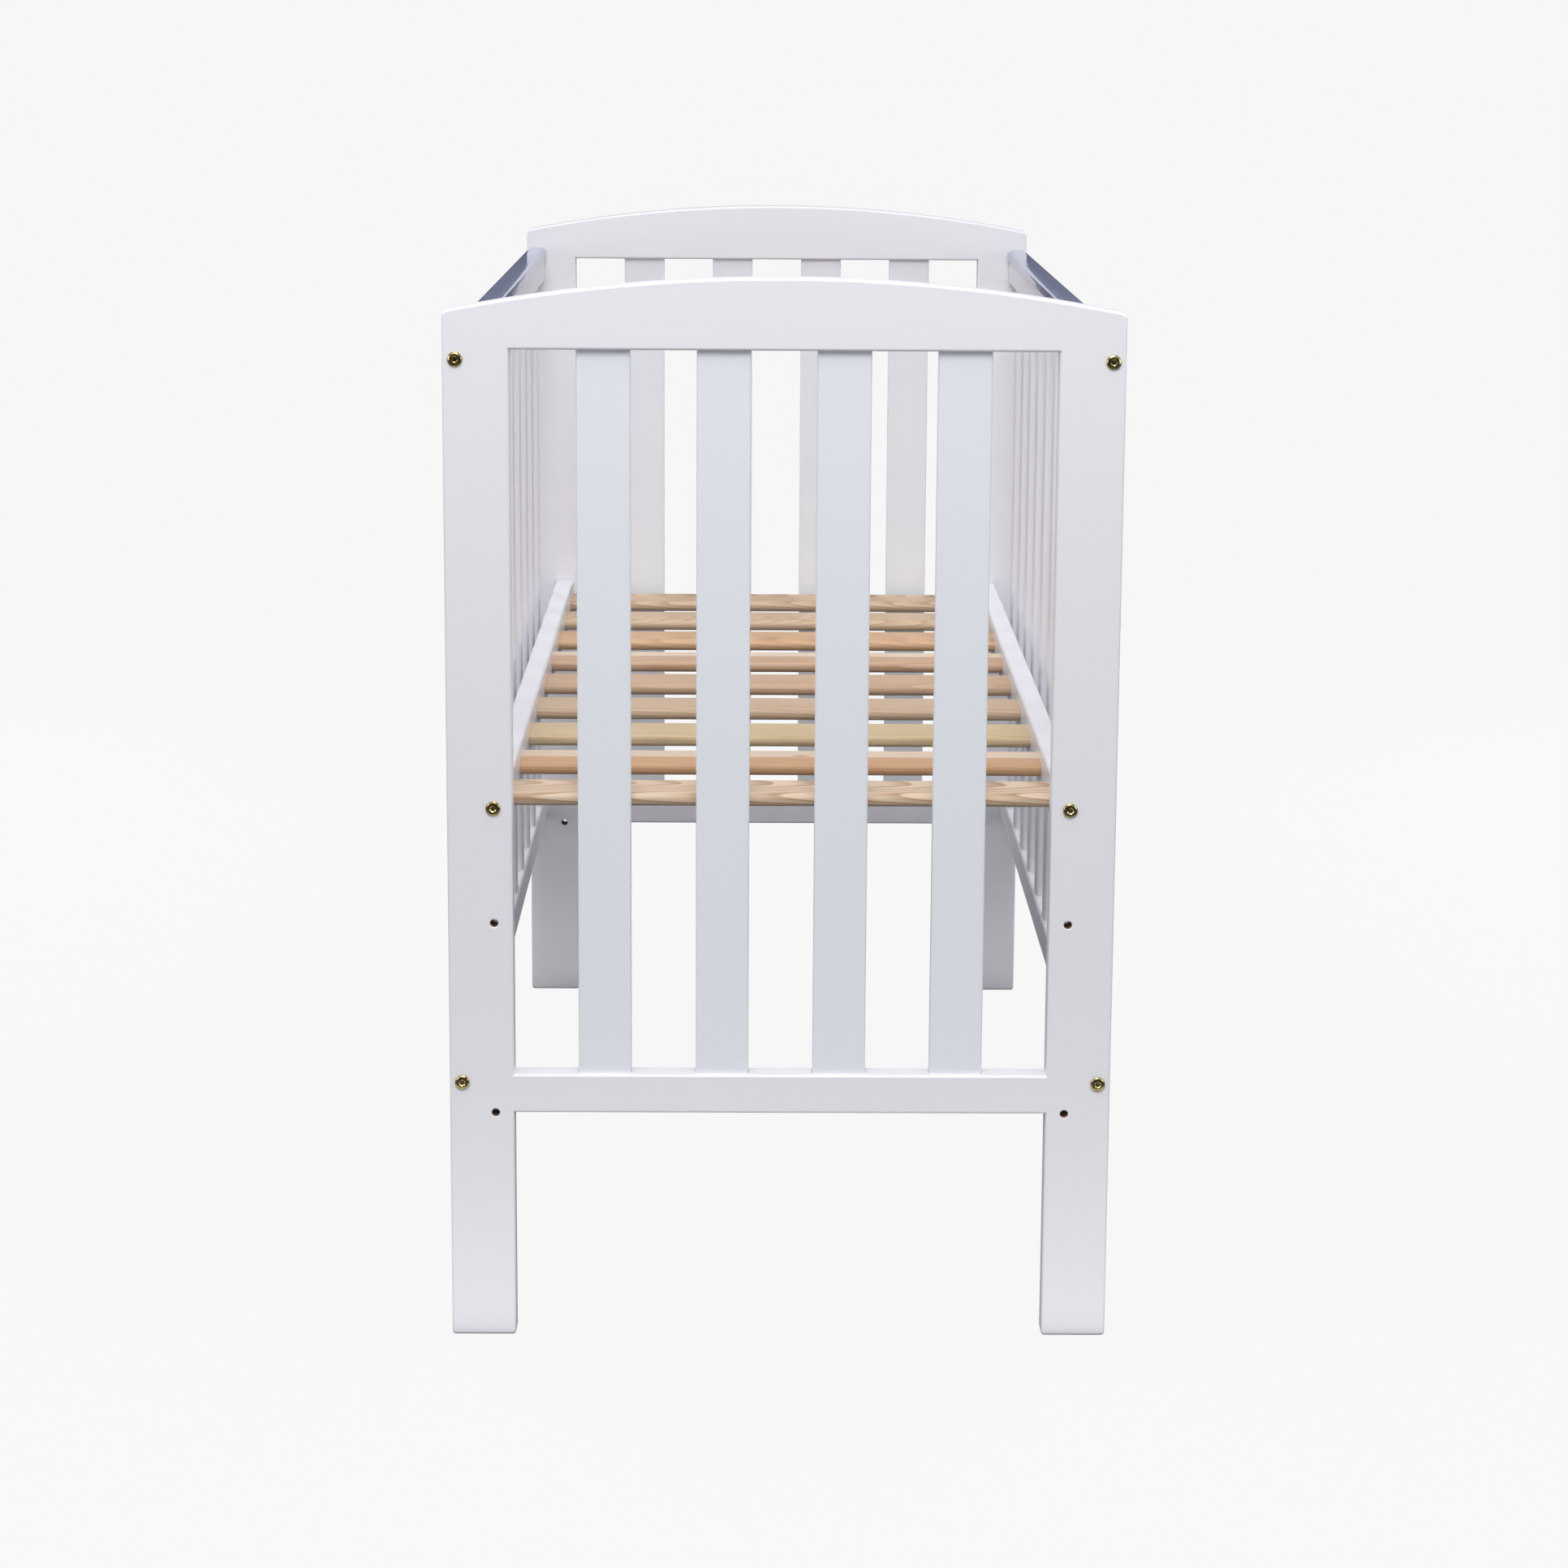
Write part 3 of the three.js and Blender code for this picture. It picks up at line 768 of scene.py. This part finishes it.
def build_bolt(node, body):
    """A low domed head with a hexagon socket, on a round shank."""
    low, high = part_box(node)
    outward = -1 if low.y < 0 else 1
    length = high.y - low.y
    start = low.y if outward < 0 else high.y
    face = abs(start) - OUTER_FACE - HEAD_GAP
    socket = [
        (0, SOCKET_DEPTH),
        (SOCKET_RADIUS, SOCKET_DEPTH - SOCKET_FLOOR_RISE),
        (SOCKET_RADIUS, SOCKET_EDGE),
    ]
    shank = [
        (HEAD_RADIUS, face - HEAD_EASE),
        (HEAD_RADIUS - HEAD_EASE, face),
        (SHANK_RADIUS, face),
        (SHANK_RADIUS, length - SHANK_POINT),
        (SHANK_RADIUS - SHANK_POINT, length),
        (0, length),
    ]
    profile = socket + HEAD_DOME + shank
    bolt = add_object(node + "_turned", turned(profile, BOLT_SIDES, hexagons=2), [zinc])
    turn = Matrix.Rotation(math.pi if outward > 0 else 0, 4, "Z")
    middle = (low + high) / 2
    bolt.data.transform(Matrix.Translation((middle.x, start, middle.z)) @ turn)
    finish_piece(bolt, body, [node])


def build_fasteners():
    for end in ("front", "back"):
        for side in ("left", "right"):
            for kind, body in (("upper", "frame"), ("lower", "frame"), ("base", "base")):
                corner = f"{end}_{side}_{kind}"
                build_bolt(corner + "_bolt", body)
                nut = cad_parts[corner + "_nut"]
                nut.data.materials.clear()
                nut.data.materials.append(zinc)


for end_name in ("front", "back"):
    build_end(end_name)
for side_name in ("left", "right"):
    build_side(side_name)
    build_cap(side_name)
build_base()
build_fasteners()


# Floor, light and camera


def build_floor():
    """A plain pale floor with a faint shadow. Its bounce onto the crib is dimmer than its look."""
    mesh = bmesh.new()
    bmesh.ops.create_grid(mesh, x_segments=1, y_segments=1, size=60)
    material = bpy.data.materials.new("pale_floor")
    material.use_nodes = True
    tree = material.node_tree
    tree.nodes.clear()
    lit = tree.nodes.new("ShaderNodeBsdfDiffuse")
    lit.inputs["Color"].default_value = (0.86, 0.86, 0.84, 1)
    even = tree.nodes.new("ShaderNodeEmission")
    even.inputs["Color"].default_value = (0.934, 0.934, 0.934, 1)
    seen = tree.nodes.new("ShaderNodeMixShader")
    seen.inputs[0].default_value = 0.975
    bounce = tree.nodes.new("ShaderNodeBsdfDiffuse")
    bounce.inputs["Color"].default_value = (0.08, 0.08, 0.095, 1)
    path = tree.nodes.new("ShaderNodeLightPath")
    choice = tree.nodes.new("ShaderNodeMixShader")
    out = tree.nodes.new("ShaderNodeOutputMaterial")
    tree.links.new(lit.outputs[0], seen.inputs[1])
    tree.links.new(even.outputs[0], seen.inputs[2])
    tree.links.new(path.outputs["Is Camera Ray"], choice.inputs[0])
    tree.links.new(bounce.outputs[0], choice.inputs[1])
    tree.links.new(seen.outputs[0], choice.inputs[2])
    tree.links.new(choice.outputs[0], out.inputs["Surface"])
    floor = add_object("floor", mesh, [material])
    floor.location.z = -0.0005


def build_world():
    """Soft light from above, dimmer near the horizon; the background itself is plain and pale."""
    world = bpy.data.worlds.new("studio")
    world.use_nodes = True
    bpy.context.scene.world = world
    tree = world.node_tree
    tree.nodes.clear()

    def node(kind):
        return tree.nodes.new("ShaderNode" + kind)

    place = node("TexCoord")
    parts = node("SeparateXYZ")
    ramp = node("ValToRGB")
    light = node("Background")
    plain = node("Background")
    choice = node("MixShader")
    path = node("LightPath")
    out = node("OutputWorld")
    elements = ramp.color_ramp.elements
    elements[0].position = 0.16
    elements[0].color = (0.06, 0.065, 0.1, 1)
    elements[1].position = 0.5
    elements[1].color = (0.94, 0.97, 1.06, 1)
    light.inputs["Strength"].default_value = 0.6
    plain.inputs["Color"].default_value = (0.925, 0.925, 0.925, 1)
    tree.links.new(place.outputs["Generated"], parts.inputs[0])
    tree.links.new(parts.outputs["Z"], ramp.inputs["Fac"])
    tree.links.new(ramp.outputs["Color"], light.inputs["Color"])
    tree.links.new(path.outputs["Is Camera Ray"], choice.inputs[0])
    tree.links.new(light.outputs[0], choice.inputs[1])
    tree.links.new(plain.outputs[0], choice.inputs[2])
    tree.links.new(choice.outputs[0], out.inputs[0])


def add_sun(name, towards, strength, angle):
    data = bpy.data.lights.new(name, "SUN")
    data.energy = strength
    data.angle = math.radians(angle)
    sun = bpy.data.objects.new(name, data)
    sun.rotation_euler = Vector(towards).to_track_quat("-Z", "Y").to_euler()
    bpy.context.scene.collection.objects.link(sun)


def add_softbox(name, place, towards, size, power):
    data = bpy.data.lights.new(name, "AREA")
    data.shape = "RECTANGLE"
    data.size, data.size_y = size
    data.energy = power
    softbox = bpy.data.objects.new(name, data)
    softbox.location = place
    softbox.rotation_euler = (Vector(towards) - Vector(place)).to_track_quat("-Z", "Y").to_euler()
    softbox.visible_camera = False
    bpy.context.scene.collection.objects.link(softbox)


CAMERA_PLACE = (-0.02453, -3.222, 1.12702)
CAMERA_LENS = 75.59
CAMERA_SHIFT = -0.135
CAMERA_TURN = -0.0093
CAMERA_DIP = 0.16791
CAMERA_ROLL = 0.00602


def build_camera():
    """Beyond the front end and above its crown, looking slightly down. The angles are in radians."""
    data = bpy.data.cameras.new("camera")
    data.lens = CAMERA_LENS
    data.sensor_width = 36
    data.shift_y = CAMERA_SHIFT
    data.clip_end = 200
    camera = bpy.data.objects.new("camera", data)
    turn = Matrix.Rotation(CAMERA_TURN, 4, "Z")
    pitch = Matrix.Rotation(math.pi / 2 - CAMERA_DIP, 4, "X")
    roll = Matrix.Rotation(CAMERA_ROLL, 4, "Z")
    camera.matrix_world = Matrix.Translation(CAMERA_PLACE) @ turn @ pitch @ roll
    bpy.context.scene.collection.objects.link(camera)
    bpy.context.scene.camera = camera


def build_lights():
    """A key in front and above, soft light from the corners and sides, and low light on the feet."""
    add_sun("soft_sun", (0.1, 0.5, -1.0), 0.35, 50)
    add_softbox("key_softbox", (-0.05, -1.95, 2.3), (0, -0.5, 0.8), (1.0, 1.0), 30)
    add_softbox("overhead_softbox", (0, -0.3, 2.4), (0, 0, 0.8), (1.4, 1.8), 9)
    for side in (-1, 1):
        corner_x = 1.9 * side
        side_x = 2.375 * side
        foot_x = 0.2375 * side
        add_softbox("front_corner_softbox", (corner_x, -1.8, 0.95), (0, 0, 0.5), (1.2, 1.0), 10.5)
        add_softbox("back_corner_softbox", (corner_x, 1.7, 1.2), (0, 0, 0.55), (1.2, 1.2), 24)
        add_softbox("side_softbox", (side_x, 0, 0.95), (0, 0, 0.55), (1.4, 1.0), 5)
        add_softbox("far_foot_fill", (foot_x, 0.37, 0.0002), (foot_x, 0.37, 1), (0.12, 0.2), 0.035)
    add_softbox("near_foot_fill", (0, -0.68, 0.0002), (0, -0.68, 1), (1.3, 0.3), 0.85)


build_floor()
build_world()
build_lights()
build_camera()
bpy.context.scene.view_settings.view_transform = "Standard"
